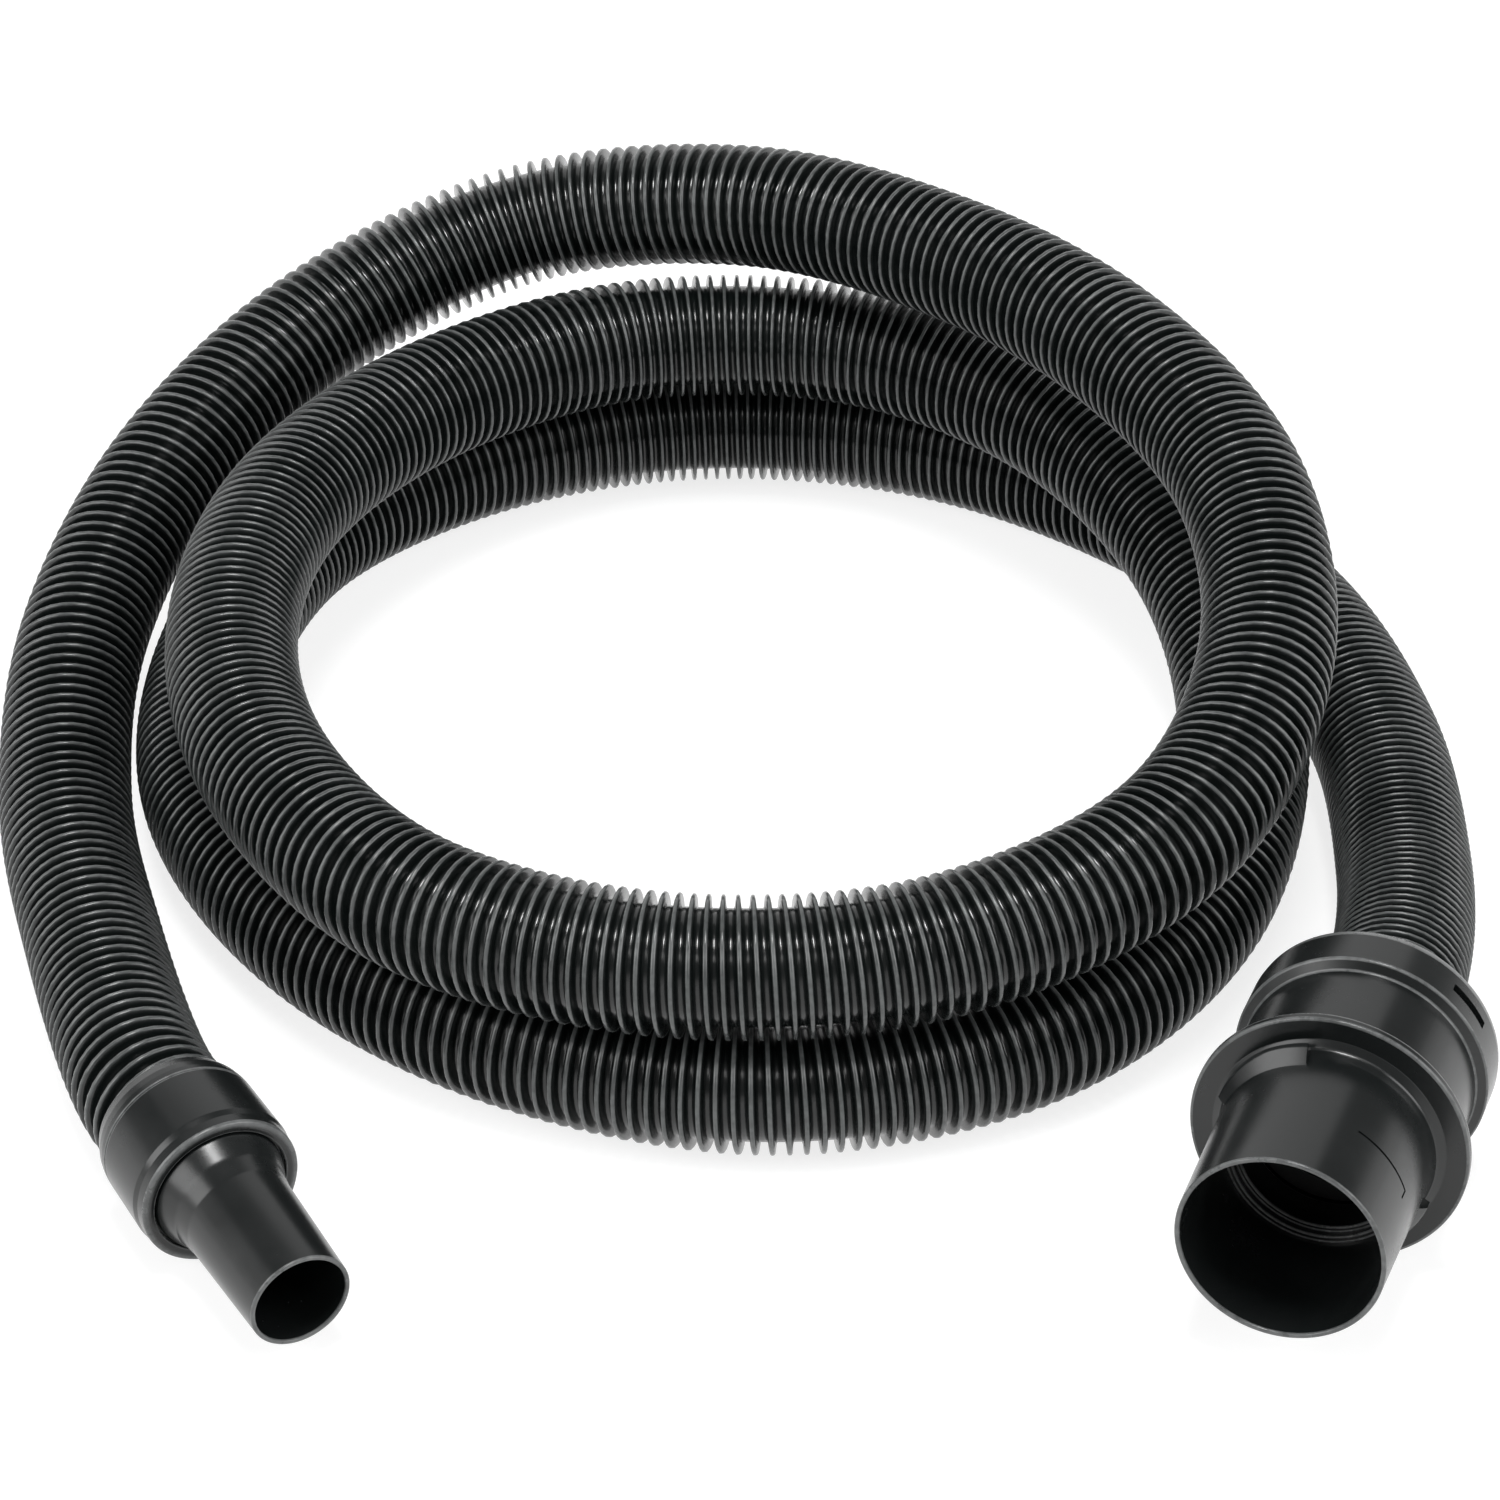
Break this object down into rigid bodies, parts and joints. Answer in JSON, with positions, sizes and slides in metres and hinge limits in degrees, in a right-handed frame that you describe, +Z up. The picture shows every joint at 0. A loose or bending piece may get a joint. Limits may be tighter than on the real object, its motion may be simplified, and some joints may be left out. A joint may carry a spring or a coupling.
{
  "type": "vacuum suction hose",
  "caption": "Black corrugated vacuum hose in stacked loops, with a swivelling tool cuff and nozzle at one end and a flanged bayonet inlet connector at the other.",
  "frame": {"origin": "on the floor below the middle of the whole piece", "axes": "+Z up; both open mouths face -Y; +X is the side of the machine connector"},
  "size_m": [0.4768, 0.5338, 0.1384],
  "materials": {
    "hose_plastic": "satin black flexible plastic",
    "fitting_plastic": "satin black moulded plastic",
    "sleeve_plastic": "plain black moulded plastic",
    "seal_rubber": "matt black rubber"
  },
  "bodies": {
    "hose": {"hose_tube": "hose_plastic", "machine_thread_sleeve": "sleeve_plastic", "spigot_seal": "seal_rubber", "tool_thread_sleeve": "sleeve_plastic", "tool_seal": "seal_rubber"},
    "machine_connector": {"inlet_spigot": "fitting_plastic", "swivel_collar": "fitting_plastic", "snap_ring": "sleeve_plastic"},
    "tool_nozzle": {"nozzle_tube": "fitting_plastic", "tool_cuff": "fitting_plastic", "cuff_end_ring": "fitting_plastic"}
  },
  "joints": [
    {"name": "machine_swivel", "type": "hinge", "parent": "hose", "child": "machine_connector", "pos_m": [0.19059, -0.16281, 0.03842], "axis": [-0.3479, -0.9354, 0.0628], "continuous": true},
    {"name": "tool_swivel", "type": "hinge", "parent": "hose", "child": "tool_nozzle", "pos_m": [-0.1526, -0.19301, 0.02544], "axis": [0.5057, -0.862, -0.0349], "continuous": true}
  ]
}
